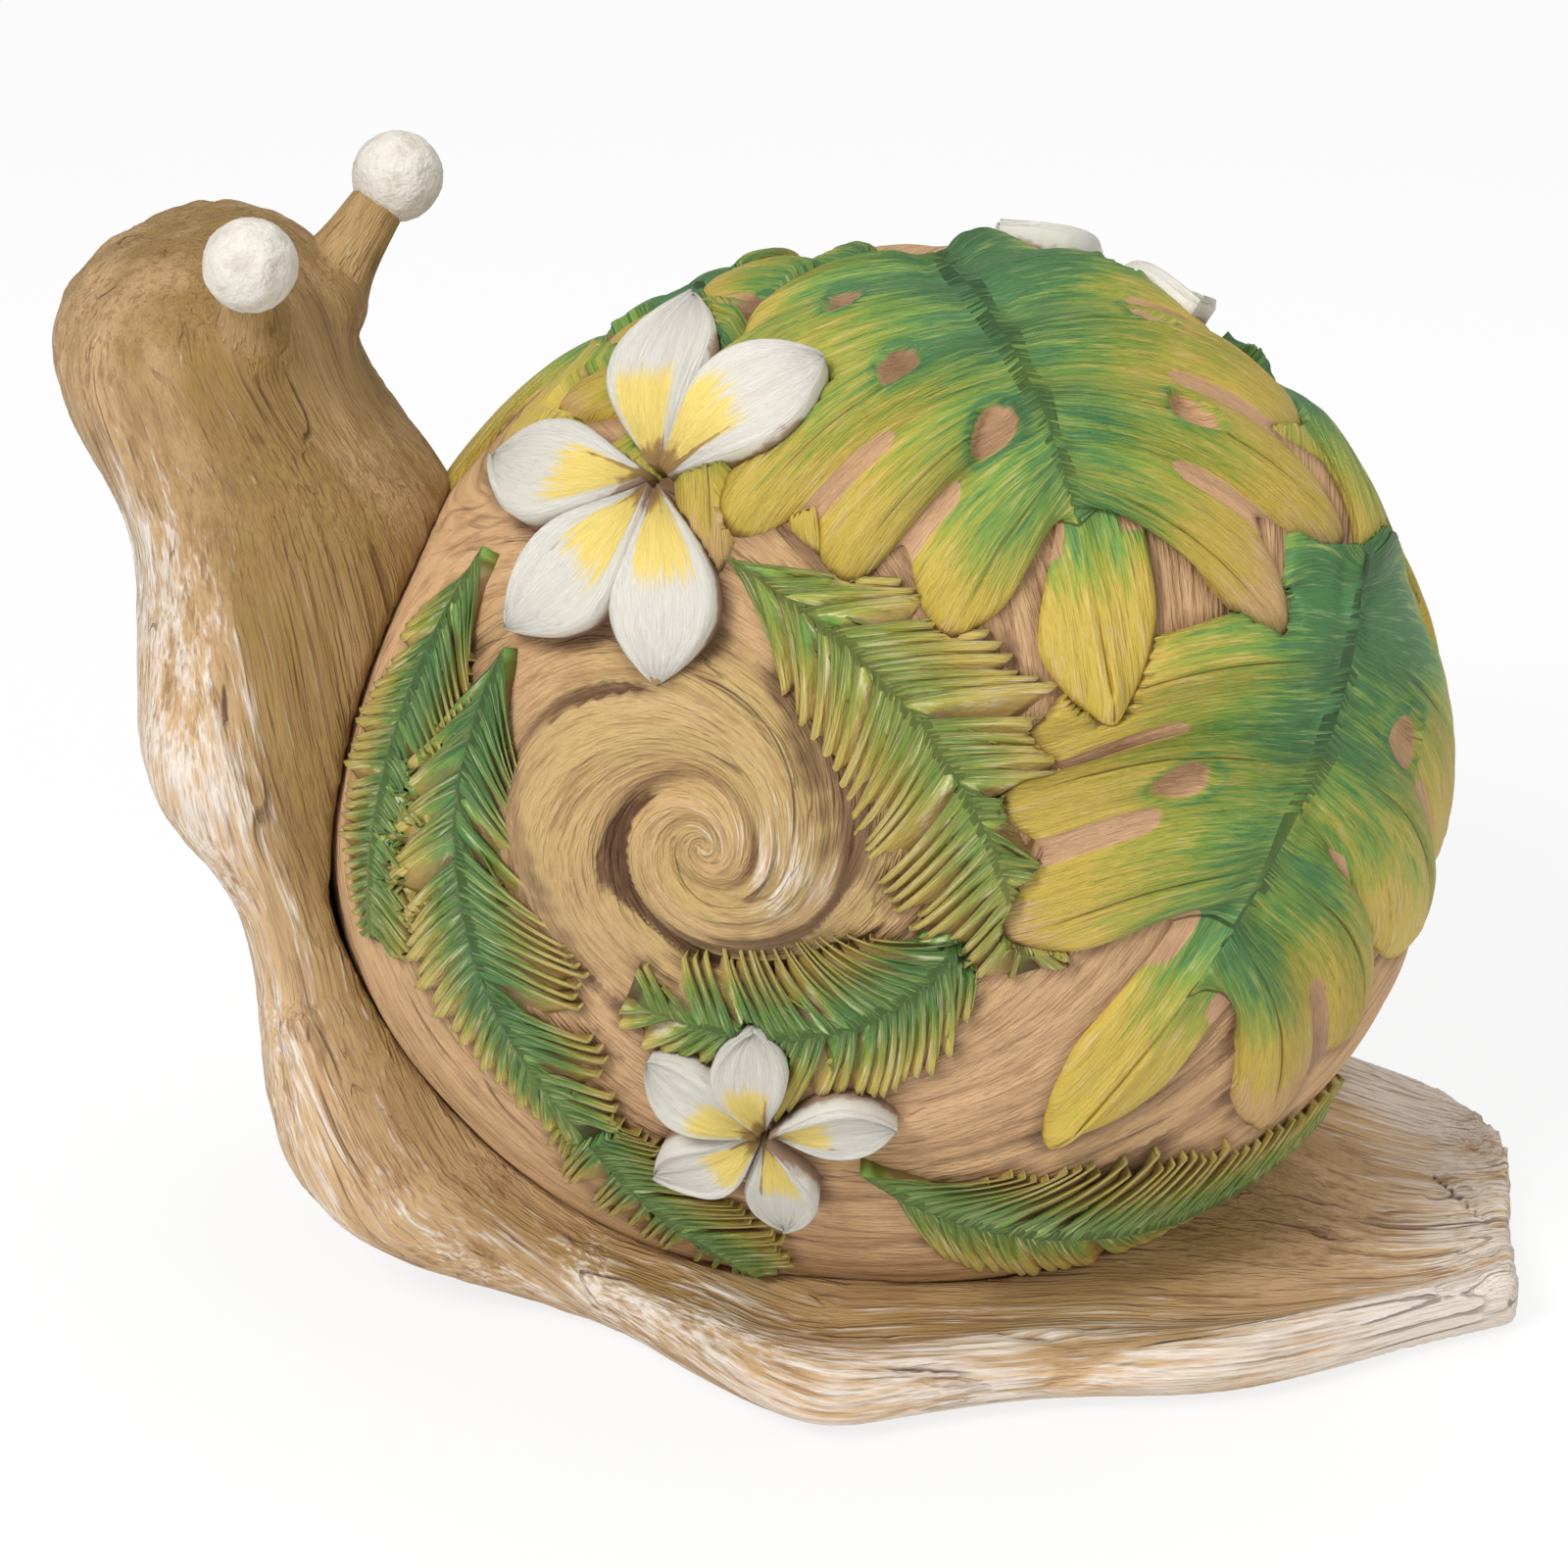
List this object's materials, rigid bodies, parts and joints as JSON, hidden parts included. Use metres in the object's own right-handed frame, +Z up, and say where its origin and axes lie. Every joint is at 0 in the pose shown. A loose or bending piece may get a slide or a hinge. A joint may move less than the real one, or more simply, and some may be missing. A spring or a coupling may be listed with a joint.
{
  "type": "snail garden figurine",
  "caption": "Cast resin snail garden ornament with a wood-grained body, a round coiled shell, relief leaves and flowers, and eye stalks with balls; stands on a flat sole.",
  "frame": {"origin": "on the flat sole, below the crown of the shell", "axes": "+Z up, head toward -X and tail toward +X, near decorated side toward -Y"},
  "size_m": [0.245, 0.1357, 0.1943],
  "materials": {
    "body_resin": "painted wood-grain resin, matt",
    "shell_resin": "painted wood-grain resin, matt",
    "leaf_resin": "painted green to yellow resin, satin",
    "petal_resin": "painted white and yellow resin, matt",
    "eye_resin": "painted off-white resin, matt",
    "wire": "plain steel wire",
    "dowel": "plain wooden dowel"
  },
  "bodies": {
    "root": {"body_casting": "body_resin", "eye_ball_far": "eye_resin", "eye_ball_near": "eye_resin", "eye_stalk_far": "body_resin", "eye_stalk_near": "body_resin", "flower_far_large": "petal_resin", "flower_far_small": "petal_resin", "flower_near_large": "petal_resin", "flower_near_small": "petal_resin", "frond_far_front": "leaf_resin", "frond_far_inner": "leaf_resin", "frond_far_low": "leaf_resin", "frond_far_rear": "leaf_resin", "frond_far_upper": "leaf_resin", "frond_near_front": "leaf_resin", "frond_near_inner": "leaf_resin", "frond_near_low": "leaf_resin", "frond_near_neck": "leaf_resin", "frond_near_rear": "leaf_resin", "frond_near_upper": "leaf_resin", "monstera_far_front": "leaf_resin", "monstera_far_rear": "leaf_resin", "monstera_near_front": "leaf_resin", "monstera_near_rear": "leaf_resin", "monstera_near_top": "leaf_resin", "shell_casting": "shell_resin", "shell_dowel_front": "dowel", "shell_dowel_rear": "dowel", "stalk_wire_far": "wire", "stalk_wire_near": "wire"}
  },
  "joints": []
}
